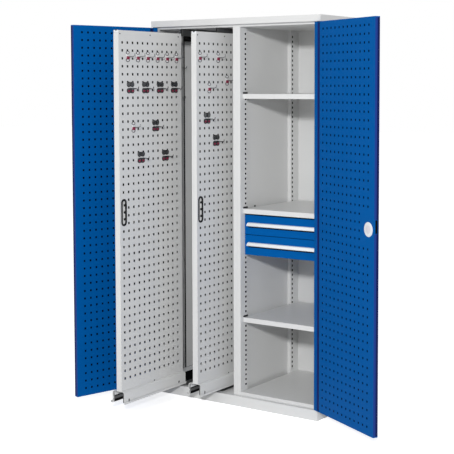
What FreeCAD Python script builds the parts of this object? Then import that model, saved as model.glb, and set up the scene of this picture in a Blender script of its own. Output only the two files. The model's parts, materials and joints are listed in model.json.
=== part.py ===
import FreeCAD, Part
import math
import os
import Sketcher

# Tool cabinet with two doors, two vertical pull-outs on the left, shelves and drawers on the right.
# Origin at the centre of the base on the floor, front towards -Y, millimetres.
# Rest pose: right door swung wide, left door part open, left pull-out fully out, middle one part out.

doc = FreeCAD.newDocument("tool_cabinet")
sheet = doc.addObject("Spreadsheet::Sheet", "Sizes")


class Size:
    """A length or share that knows both its value and its formula in the sheet."""

    def __init__(self, value, text):
        self.value = float(value)
        self.text = text

    def join(self, other, sign, value):
        text = other.text if isinstance(other, Size) else repr(float(other))
        return Size(value, "(%s %s %s)" % (self.text, sign, text))

    def __add__(self, other):
        return self.join(other, "+", self.value + number(other))

    def __sub__(self, other):
        return self.join(other, "-", self.value - number(other))

    def __mul__(self, other):
        return self.join(other, "*", self.value * number(other))

    def __truediv__(self, other):
        return self.join(other, "/", self.value / number(other))

    def __neg__(self):
        return Size(-self.value, "(0 - %s)" % self.text)


def number(length):
    return length.value if isinstance(length, Size) else float(length)


def copies(room, spacing):
    """How many features a spacing apart fit between the first and the end of the room."""
    whole = room / spacing
    return Size(math.floor(whole.value), "floor(%s)" % whole.text) + 1


def on_axis(length):
    return abs(round(length.value, 6)) == 0


class Sizes:
    """Fills the sheet row by row and hands out its cells as Size values."""

    def __init__(self, values):
        for row, (alias, value) in enumerate(values.items(), 1):
            sheet.set("A%d" % row, alias)
            sheet.set("B%d" % row, str(value))
            sheet.setAlias("B%d" % row, alias)
            setattr(self, alias, Size(value, "Sizes.%s" % alias))


sizes = {
    # Carcass
    "body_width": 1010,
    "body_depth": 580,
    "body_height": 1950,
    "carcass_sheet": 1.5,
    "carcass_setback": 28,
    "plinth_height": 50,
    "plinth_inset": 5,
    "plinth_sheet": 2,
    "roof_overhang": 7,
    "roof_skirt": 31.4,
    "wall_flange": 22,
    "wall_lip": 10.5,
    "ceiling_drop": 43,
    "rail_setback": 2,
    "partition_width": 22,
    "upright_depth": 21,
    "front_upright_width": 63,
    "rear_upright_width": 77.5,
    "slot_height": 12,
    "slot_width": 9,
    "slot_inset": 14.5,
    "slot_spacing": 130,
    "slot_margin": 90,
    "floor_tray_height": 15.5,
    "floor_tray_setback": 2,
    "seat_gap": 0.3,
    # Shelves and their clips
    "shelf_sheet": 1.2,
    "shelf_lip": 24,
    "shelf_setback": 54,
    "shelf_rear_gap": 8,
    "lower_shelf_top": 445,
    "middle_shelf_top": 998,
    "upper_shelf_drop": 333,
    "clip_reach": 12,
    "clip_width": 12,
    "clip_thick": 2,
    "front_clip_place": 74,
    "rear_clip_place": 520,
    # Doors, hung on pins 8 mm behind their outer face
    "door_thick": 25,
    "door_skin": 1.2,
    "door_bottom": 55,
    "door_top_gap": 3.6,
    "axis_inset": 8,
    "hinge_edge": 8,
    "pin_from_side": 8,
    "centre_gap": 1.5,
    "rim_width": 24,
    "groove_width": 22,
    "groove_depth": 11,
    "door_lip": 14,
    "right_door_angle": 152.4,
    "left_door_angle": 106,
    "pin_radius": 4,
    "pin_length": 18,
    "collar_radius": 6,
    "bush_bore": 4.05,
    "bush_radius": 5.7,
    "bush_length": 14,
    "bush_hole": 6,
    "door_sheet": 1.2,
    # Square holes: the real pitch, and how many of its steps lie between two modelled holes
    "hole_side": 10,
    "hole_spacing": 38,
    "door_hole_spacing": 34.5,
    "hole_step_count": 4,
    "door_row_drop": 35.2,
    "door_column_inset": 49,
    "door_column_margin": 10,
    "pull_row_drop": 58.2,
    "pull_column_inset": 27.5,
    # Right door's lock
    "lock_height": 981,
    "lock_inset": 43,
    "disc_radius": 33,
    "disc_thick": 2.4,
    "case_width": 40,
    "case_height": 110,
    "knob_radius": 22,
    "knob_thick": 6,
    "lever_length": 95,
    "lever_width": 20,
    "lever_thick": 12,
    "spindle_radius": 6,
    "spindle_hole": 6.3,
    "rod_radius": 4,
    "rod_hole": 4.6,
    "rod_clear": 0.5,
    "bolt_opening_width": 12,
    "bolt_opening_height": 60,
    "bolt_opening_rise": 14.5,
    # Pull-outs
    "pull_depth": 487,
    "pull_closed": 28,
    "pull_out_left": 506,
    "pull_out_middle": 187,
    "left_face": -322.7,
    "middle_face": -98.7,
    "pull_width": 31,
    "panel_sheet": 1,
    "pull_rim": 6,
    "pull_top_gap": 26,
    "pull_bottom": 128.8,
    "grip_place": 29.1,
    "grip_height": 1003,
    "grip_width": 40,
    "grip_length": 132,
    "grip_wall": 5,
    "grip_proud": 2,
    "grip_clear": 0.3,
    "carriage_right": 16.3,
    "carriage_width": 75,
    "carriage_sheet": 2,
    "carriage_bottom": 67,
    "foot_flange": 12,
    "rail_wall": 3,
    "rail_gap": 0.3,
    "rail_length": 480,
    "moving_rail_width": 60,
    "moving_rail_leg": 54,
    "fixed_rail_foot": 12,
    "guide_bar": 6,
    "guide_height": 12,
    "guide_sink": 12,
    "guide_wall": 2,
    # Hooks that hang in the square holes
    "hook_plate": 58,
    "hook_thick": 2,
    "hook_reach": 45,
    "hook_bar": 5,
    "hook_tip": 18,
    "hook_drop": 10,
    "single_width": 16,
    "double_width": 57,
    # Drawers under the middle shelf
    "drawer_front_setback": 64,
    "drawer_front_thick": 12,
    "drawer_left_gap": 2.5,
    "drawer_right_gap": 9.5,
    "upper_drawer_top": 966,
    "drawer_split": 867.3,
    "lower_drawer_bottom": 765.6,
    "drawer_gap": 1.5,
    "tray_sheet": 1,
    "tray_left_gap": 14,
    "tray_right_gap": 22.5,
    "tray_length": 480,
    "tray_base_gap": 6,
    "tray_top_gap": 12,
    "runner_width": 6,
    "runner_height": 20,
    "runner_rise": 30,
    "carrier_sheet": 1.5,
    "carrier_drop": 2,
    "drawer_handle_inset": 15,
    "drawer_handle_height": 22,
    "drawer_handle_drop": 34,
    "drawer_handle_reach": 12,
    "drawer_handle_sheet": 2,
}
z = Sizes(sizes)
NONE = Size(0, "0")
FULL_TURN = 360
doc.recompute()

front = -z.body_depth / 2
back = z.body_depth / 2
side = z.body_width / 2
inner_side = side - z.carcass_sheet
carcass_front = front + z.carcass_setback
floor_top = z.plinth_height + z.carcass_sheet
roof_under = z.body_height - z.carcass_sheet
skirt_bottom = z.body_height - z.roof_skirt
ceiling_under = z.body_height - z.ceiling_drop
back_plane = back - z.carcass_sheet
partition_side = z.partition_width / 2
left_web = partition_side + z.upright_depth
right_web = inner_side - z.upright_depth
axis_x = side - z.pin_from_side
axis_y = front + z.axis_inset
door_reach = axis_x - z.centre_gap
door_top = skirt_bottom - z.door_top_gap
pull_top = ceiling_under - z.pull_top_gap
upper_shelf_top = ceiling_under - z.upper_shelf_drop


class Piece:
    """One named sub-part: a body whose pads, pockets and turned features follow the sheet."""

    planes = {"X": "YZ_Plane", "Y": "XZ_Plane", "Z": "XY_Plane"}

    def __init__(self, label, place=(NONE, NONE, NONE), turn=None):
        self.label = label
        self.body = doc.addObject("PartDesign::Body", label)
        self.body.Label = label
        if turn is not None:
            upright = FreeCAD.Rotation(FreeCAD.Vector(0, 0, 1), turn.value)
            self.body.Placement = FreeCAD.Placement(FreeCAD.Vector(), upright)
            self.body.setExpression("Placement.Rotation.Angle", turn.text)
        for letter, length in zip("xyz", place):
            self.body.setExpression("Placement.Base." + letter, length.text)

    def sketch(self, axis, offset, centre=(NONE, NONE)):
        made = self.body.newObject("Sketcher::SketchObject", self.label + "_sketch")
        plane = [f for f in self.body.Origin.OriginFeatures if f.Role == self.planes[axis]][0]
        made.AttachmentSupport = [(plane, "")]
        made.MapMode = "FlatFace"
        for letter, length in zip("xyz", (centre[0], centre[1], offset)):
            made.setExpression("AttachmentOffset.Base." + letter, length.text)
        return made

    def draw(self, made, outline):
        """A closed outline whose corners are all held from the origin by formulas."""
        first = made.GeometryCount
        count = len(outline)
        spots = [FreeCAD.Vector(x.value, y.value, 0) for x, y in outline]
        for i in range(count):
            made.addGeometry(Part.LineSegment(spots[i], spots[(i + 1) % count]), False)
        for i in range(count):
            following = first + (i + 1) % count
            made.addConstraint(Sketcher.Constraint("Coincident", first + i, 2, following, 1))
        for i, (x, y) in enumerate(outline):
            for kind, length, axis_line in (("DistanceX", x, -2), ("DistanceY", y, -1)):
                if on_axis(length):
                    made.addConstraint(Sketcher.Constraint("PointOnObject", first + i, 1, axis_line))
                    continue
                held = Sketcher.Constraint(kind, -1, 1, first + i, 1, length.value)
                made.setExpression("Constraints[%d]" % made.addConstraint(held), length.text)

    def circle(self, made, x, y, radius):
        spot = FreeCAD.Vector(x.value, y.value, 0)
        ring = made.addGeometry(Part.Circle(spot, FreeCAD.Vector(0, 0, 1), radius.value), False)
        held = made.addConstraint(Sketcher.Constraint("Radius", ring, radius.value))
        made.setExpression("Constraints[%d]" % held, radius.text)
        for kind, length, axis_line in (("DistanceX", x, -2), ("DistanceY", y, -1)):
            if on_axis(length):
                made.addConstraint(Sketcher.Constraint("PointOnObject", ring, 3, axis_line))
                continue
            held = Sketcher.Constraint(kind, -1, 1, ring, 3, length.value)
            made.setExpression("Constraints[%d]" % made.addConstraint(held), length.text)

    def pad(self, made, length):
        grown = self.body.newObject("PartDesign::Pad", self.label + "_pad")
        grown.Profile = (made, [""])
        grown.Length = length.value
        grown.setExpression("Length", length.text)
        made.Visibility = False
        return grown

    def pocket(self, made, length):
        """Cuts the same way as a pad would grow."""
        cut = self.body.newObject("PartDesign::Pocket", self.label + "_pocket")
        cut.Profile = (made, [""])
        cut.Length = length.value
        cut.setExpression("Length", length.text)
        cut.Reversed = True
        return cut

    def stretch(self, axis, start, end, outlines, cut=False, circles=()):
        """Outlines drawn across an axis and carried along it from start to end."""
        made = self.sketch(axis, -end if axis == "Y" else start)
        for outline in outlines:
            self.draw(made, outline)
        for x, y, radius in circles:
            self.circle(made, x, y, radius)
        length = end - start
        return self.pocket(made, length) if cut else self.pad(made, length)

    def block(self, x, y, height, cut=False):
        """A box from three (low, high) pairs."""
        return self.stretch("Z", height[0], height[1], [rectangle(x, y)], cut)

    def turned(self, x, y, outline):
        """A piece of revolution about an upright line through x, y; outline in radius and height."""
        made = self.sketch("Y", -y, (x, NONE))
        self.draw(made, outline)
        turned = self.body.newObject("PartDesign::Revolution", self.label + "_turned")
        turned.Profile = (made, [""])
        turned.ReferenceAxis = (made, ["V_Axis"])
        turned.Angle = FULL_TURN
        return turned

    def repeat(self, feature, ways):
        """Repeats a cut in one or two directions: (axis, count, whole length)."""
        doc.recompute()
        pattern = self.body.newObject("PartDesign::LinearPattern", self.label + "_pattern")
        pattern.Originals = [feature]
        for suffix, (axis, count, length) in zip(("", "2"), ways):
            line = [f for f in self.body.Origin.OriginFeatures if f.Role == axis + "_Axis"][0]
            setattr(pattern, "Direction" + suffix, (line, [""]))
            pattern.setExpression("Length" + suffix, length.text)
            pattern.setExpression("Occurrences" + suffix, count.text)
        self.body.Tip = pattern
        return pattern


def rectangle(x, y):
    return [(x[0], y[0]), (x[1], y[0]), (x[1], y[1]), (x[0], y[1])]


def square(x, y, width):
    return rectangle((x - width / 2, x + width / 2), (y - width / 2, y + width / 2))


def mirrored(outline, hand):
    return [(x * hand, y) for x, y in outline]


def carcass():
    plinth_x = side - z.plinth_inset
    plinth = Piece("plinth")
    hollow = rectangle((-plinth_x + z.plinth_sheet, plinth_x - z.plinth_sheet),
                       (front + z.plinth_sheet, back - z.plinth_sheet))
    plinth.stretch("Z", NONE, z.plinth_height, [rectangle((-plinth_x, plinth_x), (front, back)), hollow])

    base = Piece("base_plate")
    base.block((-side, side), (front, back), (z.plinth_height, floor_top))
    rod_x = z.centre_gap + z.lock_inset
    base.stretch("Z", z.plinth_height, floor_top, [], True, [(rod_x, rod_line_y(), z.rod_hole)])

    # A side wall: flat sheet, a flange turned inwards at its front and a lip turned back from that
    for name, hand in (("left_side_wall", -1), ("right_side_wall", 1)):
        flange = side - z.wall_flange
        fold = carcass_front + z.carcass_sheet
        lip_end = fold + z.wall_lip
        wall = Piece(name)
        wall.stretch("Z", floor_top, roof_under, [mirrored([
            (side, carcass_front), (side, back), (inner_side, back), (inner_side, fold),
            (flange + z.carcass_sheet, fold), (flange + z.carcass_sheet, lip_end),
            (flange, lip_end), (flange, carcass_front)], hand)])

    panel = Piece("back_panel")
    panel.block((-inner_side, inner_side), (back_plane, back), (floor_top, roof_under))

    roof_x = side + z.roof_overhang
    roof = Piece("roof_cap")
    roof.block((-roof_x, roof_x), (front, back), (roof_under, z.body_height))
    inside_x = roof_x - z.carcass_sheet
    roof.stretch("Z", skirt_bottom, roof_under, [[
        (-roof_x, front), (roof_x, front), (roof_x, back), (inside_x, back),
        (inside_x, front + z.carcass_sheet), (-inside_x, front + z.carcass_sheet), (-inside_x, back),
        (-roof_x, back)]])

    # The rail over the door opening: a stop behind the doors and a shelf in front that holds the pins
    rail = Piece("top_front_rail")
    lip_x = side - z.wall_flange
    rail.stretch("X", -lip_x, lip_x, [rectangle((carcass_front, carcass_front + z.carcass_sheet),
                                                (ceiling_under, roof_under))])
    rail_top = skirt_bottom + z.carcass_sheet
    rail.block((-side, side), (front + z.rail_setback, carcass_front), (skirt_bottom, rail_top))
    rail.stretch("Z", skirt_bottom, rail_top, [], True, [(rod_x, rod_line_y(), z.rod_hole)])

    ceiling = Piece("ceiling_panel")
    ceiling.block((-inner_side, inner_side), (carcass_front + z.carcass_sheet + z.wall_lip, back_plane),
                  (ceiling_under, ceiling_under + z.carcass_sheet))

    partition = Piece("partition_wall")
    inside = partition_side - z.carcass_sheet
    partition.stretch("Z", floor_top, ceiling_under, [[
        (-partition_side, carcass_front), (partition_side, carcass_front), (partition_side, back_plane),
        (inside, back_plane), (inside, carcass_front + z.carcass_sheet),
        (-inside, carcass_front + z.carcass_sheet), (-inside, back_plane), (-partition_side, back_plane)]])

    tray = Piece("right_floor_tray")
    tray_front = carcass_front + z.floor_tray_setback
    tray_top = floor_top + z.floor_tray_height
    tray.stretch("X", left_web + z.seat_gap, right_web - z.seat_gap, [[
        (tray_front, floor_top), (tray_front + z.shelf_sheet, floor_top),
        (tray_front + z.shelf_sheet, tray_top - z.shelf_sheet),
        (back_plane - z.shelf_sheet, tray_top - z.shelf_sheet), (back_plane - z.shelf_sheet, floor_top),
        (back_plane, floor_top), (back_plane, tray_top), (tray_front, tray_top)]])


def upright(name, start, width, wall, hand, closed):
    """A folded post: its slotted web stands off the wall by the post's depth."""
    web = wall + z.upright_depth * hand
    fold = web - z.carcass_sheet * hand
    end = start + width
    outline = [(wall, start), (web, start), (web, end)]
    if closed:
        rear = end - z.carcass_sheet
        outline += [(wall, end), (wall, rear), (fold, rear)]
    else:
        outline += [(fold, end)]
    outline += [(fold, start + z.carcass_sheet), (wall, start + z.carcass_sheet)]
    post = Piece(name)
    post.stretch("Z", floor_top, ceiling_under, [outline])
    return post, (web, fold)


def uprights():
    rear_start = back_plane - z.rear_upright_width
    right_front = carcass_front + z.carcass_sheet + z.wall_lip
    right_width = z.front_upright_width + carcass_front - right_front
    posts = (("front_left_upright", carcass_front, z.front_upright_width, partition_side, 1, True,
              carcass_front + z.front_upright_width - z.slot_inset - z.slot_width),
             ("rear_left_upright", rear_start, z.rear_upright_width, partition_side, 1, False,
              rear_start + z.slot_inset),
             ("front_right_upright", right_front, right_width, inner_side, -1, True,
              right_front + right_width - z.slot_inset - z.slot_width),
             ("rear_right_upright", rear_start, z.rear_upright_width, inner_side, -1, False,
              rear_start + z.slot_inset))
    for name, start, width, wall, hand, closed, slot in posts:
        post, (web, fold) = upright(name, start, width, wall, hand, closed)
        low, high = (fold, web) if hand > 0 else (web, fold)
        first = post.stretch("X", low, high, [rectangle((slot, slot + z.slot_width),
                             (floor_top + z.slot_margin, floor_top + z.slot_margin + z.slot_height))], True)
        rows = copies(ceiling_under - floor_top - z.slot_margin * 2, z.slot_spacing)
        post.repeat(first, [("Z", rows, z.slot_spacing * (rows - 1))])


def shelves():
    left = left_web + z.seat_gap
    right = right_web - z.seat_gap
    shelf_front = front + z.shelf_setback
    shelf_back = back_plane - z.shelf_rear_gap
    for name, top in (("lower_shelf", z.lower_shelf_top), ("middle_shelf", z.middle_shelf_top),
                      ("upper_shelf", upper_shelf_top)):
        shelf = Piece(name)
        bottom = top - z.shelf_lip
        shelf.block((left, right), (shelf_front, shelf_back), (bottom, top))
        shelf.block((left + z.shelf_sheet, right - z.shelf_sheet),
                    (shelf_front + z.shelf_sheet, shelf_back - z.shelf_sheet),
                    (bottom, top - z.shelf_sheet), True)

    # A clip under each shelf's corner, hooked to an upright's web
    clips = Piece("shelf_clips")
    for top in (z.lower_shelf_top, z.middle_shelf_top, upper_shelf_top):
        bottom = top - z.shelf_lip
        for place in (z.front_clip_place, z.rear_clip_place):
            for low, high in ((left_web, left_web + z.clip_reach), (right_web - z.clip_reach, right_web)):
                clips.block((low, high), (front + place, front + place + z.clip_width),
                            (bottom - z.clip_thick, bottom))


def rod_line_y():
    """The lock rods run up and down the middle of the closed door's thickness."""
    return front + z.door_thick / 2


def pins():
    door_pins = Piece("door_pivot_pins")
    for hand in (-1, 1):
        foot = floor_top
        collar = z.door_bottom - z.seat_gap
        tip = z.door_bottom + z.pin_length
        door_pins.turned(axis_x * hand, axis_y, [
            (NONE, foot), (z.collar_radius, foot), (z.collar_radius, collar), (z.pin_radius, collar),
            (z.pin_radius, tip), (NONE, tip)])
        collar = door_top + z.seat_gap
        tip = door_top - z.pin_length
        door_pins.turned(axis_x * hand, axis_y, [
            (NONE, skirt_bottom), (z.collar_radius, skirt_bottom), (z.collar_radius, collar),
            (z.pin_radius, collar), (z.pin_radius, tip), (NONE, tip)])


def door(name, hand, turn):
    """A leaf drawn shut, with its hinge line on the origin and reaching towards -hand in X."""
    place = (axis_x * hand, axis_y, NONE)
    outer = -z.axis_inset
    inner = outer + z.door_thick
    low = z.door_bottom + z.door_skin
    high = door_top - z.door_skin
    sheet_back = inner - z.door_sheet
    rim = z.rim_width - z.hinge_edge
    groove_end = rim + z.groove_width
    groove_floor = inner - z.groove_depth

    def leaf(points):
        return [(x * -hand, y) for x, y in points]

    def across(start, end):
        return (-end, -start) if hand > 0 else (start, end)

    shell = Piece(name + "_shell", place, turn)
    shell.stretch("Z", low, high, [leaf([
        (-z.hinge_edge, outer), (door_reach, outer), (door_reach, inner),
        (door_reach - z.door_skin, inner), (door_reach - z.door_skin, sheet_back),
        (door_reach - z.door_lip, sheet_back), (door_reach - z.door_lip, sheet_back - z.door_skin),
        (door_reach - z.door_skin, sheet_back - z.door_skin), (door_reach - z.door_skin, outer + z.door_skin),
        (-z.hinge_edge + z.door_skin, outer + z.door_skin),
        (-z.hinge_edge + z.door_skin, inner - z.door_skin),
        (rim - z.door_skin, inner - z.door_skin), (rim - z.door_skin, groove_floor),
        (groove_end, groove_floor), (groove_end, sheet_back - z.door_skin),
        (groove_end + z.door_lip, sheet_back - z.door_skin), (groove_end + z.door_lip, sheet_back),
        (groove_end - z.door_skin, sheet_back), (groove_end - z.door_skin, groove_floor + z.door_skin),
        (rim, groove_floor + z.door_skin), (rim, inner), (-z.hinge_edge, inner)])])
    whole = rectangle(across(-z.hinge_edge, door_reach), (outer, inner))
    rods = [(-(door_reach - z.lock_inset) * hand, rod_line_y() - axis_y, z.rod_hole)] if hand > 0 else []
    for start, end in ((z.door_bottom, low), (high, door_top)):
        shell.stretch("Z", start, end, [whole], False, [(NONE, NONE, z.bush_hole)] + rods)

    skin = Piece(name + "_sheet", place, turn)
    skin.block(across(groove_end, door_reach - z.door_skin), (sheet_back, inner), (low, high))
    far = door_reach - z.door_column_inset
    side_step = z.door_hole_spacing * z.hole_step_count
    columns = copies(far - groove_end - z.door_column_margin, side_step)
    first_x = -far if hand > 0 else far - side_step * (columns - 1)
    down_step = z.hole_spacing * z.hole_step_count
    rows = copies(door_top - z.door_bottom - z.door_row_drop * 2, down_step)
    drop = down_step * (rows - 1)
    bottom_row = door_top - z.door_row_drop - drop
    hole = skin.stretch("Y", sheet_back, inner, [square(first_x, bottom_row, z.hole_side)], True)
    skin.repeat(hole, [("X", columns, side_step * (columns - 1)), ("Z", rows, drop)])

    # Pivot bushes through the end plates
    bushes = Piece(name + "_bushes", place, turn)
    for start, way in ((z.door_bottom, 1), (door_top, -1)):
        end = start + z.bush_length * way
        bushes.turned(NONE, NONE, [
            (z.bush_bore, start), (z.bush_radius, start), (z.bush_radius, end), (z.bush_bore, end)])
    return shell, skin


def lock(shell, skin, turn):
    """The right door's lock: case and disc inside, a swivel lever outside, a rod up and a rod down."""
    place = (axis_x, axis_y, NONE)
    outer = -z.axis_inset
    inner = outer + z.door_thick
    centre = -(door_reach - z.lock_inset)
    rod_y = rod_line_y() - axis_y
    shell.stretch("Y", outer, outer + z.door_skin, [], True, [(centre, z.lock_height, z.spindle_hole)])
    skin_hole = z.spindle_hole + z.door_sheet
    skin.stretch("Y", inner - z.door_sheet, inner, [], True, [(centre, z.lock_height, skin_hole)])
    # The bolt comes out through an opening in the leaf's free edge
    opening_y = (outer + inner) / 2
    opening_z = z.lock_height + z.bolt_opening_rise
    opening = rectangle((opening_y - z.bolt_opening_width / 2, opening_y + z.bolt_opening_width / 2),
                        (opening_z - z.bolt_opening_height / 2, opening_z + z.bolt_opening_height / 2))
    shell.stretch("X", -door_reach, -door_reach + z.door_skin, [opening], True)

    case = Piece("lock_case", place, turn)
    half = z.case_width / 2
    tall = z.case_height / 2
    case_start = outer + z.door_skin
    case_end = inner - z.door_sheet
    case.block((centre - half, centre + half), (case_start, case_end),
               (z.lock_height - tall, z.lock_height + tall))
    case.stretch("Y", case_start, case_end, [], True, [(centre, z.lock_height, z.spindle_hole)])
    rod_room = rectangle((centre - z.rod_hole, centre + z.rod_hole), (rod_y - z.rod_hole, rod_y + z.rod_hole))
    inside = z.spindle_hole + z.door_sheet
    case.stretch("Z", z.lock_height + inside, z.lock_height + tall, [rod_room], True)
    case.stretch("Z", z.lock_height - tall, z.lock_height - inside, [rod_room], True)

    disc = Piece("lock_disc", place, turn)
    disc.stretch("Y", inner, inner + z.disc_thick, [], False,
                 [(centre, z.lock_height, z.disc_radius), (centre, z.lock_height, skin_hole)])

    lever = Piece("door_lever", place, turn)
    lever.stretch("Y", outer - z.seat_gap - z.knob_thick, outer - z.seat_gap, [], False,
                  [(centre, z.lock_height, z.knob_radius)])
    grip_half = z.lever_width / 2
    lever.block((centre - grip_half, centre + grip_half),
                (outer - z.seat_gap - z.knob_thick - z.lever_thick, outer - z.seat_gap - z.knob_thick),
                (z.lock_height - z.lever_length, z.lock_height + z.knob_radius))
    lever.stretch("Y", outer - z.seat_gap, inner - z.door_sheet, [], False,
                  [(centre, z.lock_height, z.spindle_radius)])

    reach = inside + z.rod_clear
    for name, start, end in (("upper_lock_rod", z.lock_height + reach, door_top - z.rod_clear),
                             ("lower_lock_rod", z.door_bottom + z.rod_clear, z.lock_height - reach)):
        rod = Piece(name, place, turn)
        rod.stretch("Z", start, end, [], False, [(centre, rod_y, z.rod_radius)])


def stadium(made, y, height, width, length):
    """An upright slot outline with round ends, held by formulas."""
    radius = width / 2
    straight = length / 2 - radius
    top = height + straight
    low = height - straight
    first = made.GeometryCount
    spots = [(y - radius, low), (y - radius, top), (y + radius, top), (y + radius, low)]
    points = [FreeCAD.Vector(a.value, b.value, 0) for a, b in spots]
    crown = FreeCAD.Vector(y.value, top.value + radius.value, 0)
    foot = FreeCAD.Vector(y.value, low.value - radius.value, 0)
    made.addGeometry(Part.LineSegment(points[0], points[1]), False)
    made.addGeometry(Part.Arc(points[1], crown, points[2]), False)
    made.addGeometry(Part.LineSegment(points[2], points[3]), False)
    made.addGeometry(Part.Arc(points[3], foot, points[0]), False)
    for kind, line, end, arc, start in (("Tangent", 0, 2, 1, 2), ("Coincident", 1, 1, 2, 1),
                                        ("Tangent", 2, 2, 3, 2), ("Coincident", 3, 1, 0, 1)):
        made.addConstraint(Sketcher.Constraint(kind, first + line, end, first + arc, start))
    for line, end, (a, b) in ((0, 1, spots[0]), (0, 2, spots[1]), (2, 1, spots[2]), (2, 2, spots[3])):
        for kind, length_held in (("DistanceX", a), ("DistanceY", b)):
            held = Sketcher.Constraint(kind, -1, 1, first + line, end, length_held.value)
            made.setExpression("Constraints[%d]" % made.addConstraint(held), length_held.text)


# Hooks as (column, row) of their upper hole, from the front column and the top row
single_places = {"left": ((1, 1), (3, 1), (5, 1), (7, 1), (9, 1), (11, 1), (2, 10)),
                 "middle": ((0, 1), (4, 1), (6, 4), (2, 5))}
double_places = {"left": ((1, 5), (4, 5), (7, 5), (10, 5), (6, 10), (3, 14), (8, 14)),
                 "middle": ((1, 9), (3, 12))}


def hooks(name, which, place, places, width):
    """A plate against the panel, an arm towards +X and a tip turned up, one of each per place."""
    made = Piece(name, place)
    arm = z.hook_plate / 2 - z.hook_drop
    outline = [(NONE, NONE), (z.hook_thick, NONE), (z.hook_thick, arm), (z.hook_reach, arm),
               (z.hook_reach, arm + z.hook_tip), (z.hook_reach - z.hook_bar, arm + z.hook_tip),
               (z.hook_reach - z.hook_bar, arm + z.hook_bar), (z.hook_thick, arm + z.hook_bar),
               (z.hook_thick, z.hook_plate), (NONE, z.hook_plate)]
    for column, row in places[which]:
        middle = z.pull_column_inset + z.hole_spacing * column
        if width is z.double_width:
            middle = middle + z.hole_spacing / 2
        top_row = pull_top - z.pull_row_drop
        bottom = top_row - z.hole_spacing * row - z.hole_spacing / 2 - z.hook_plate / 2
        shifted = [(x, y + bottom) for x, y in outline]
        made.stretch("Y", middle - width / 2, middle + width / 2, [shifted])


def nested(width, wall, top, leg):
    """An inverted channel: outer width, wall, top of its web and length of its legs."""
    half = width / 2
    return [(-half, top - leg), (-half, top), (half, top), (half, top - leg), (half - wall, top - leg),
            (half - wall, top - wall), (-half + wall, top - wall), (-half + wall, top - leg)]


def shifted(outline, x):
    return [(a + x, b) for a, b in outline]


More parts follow.
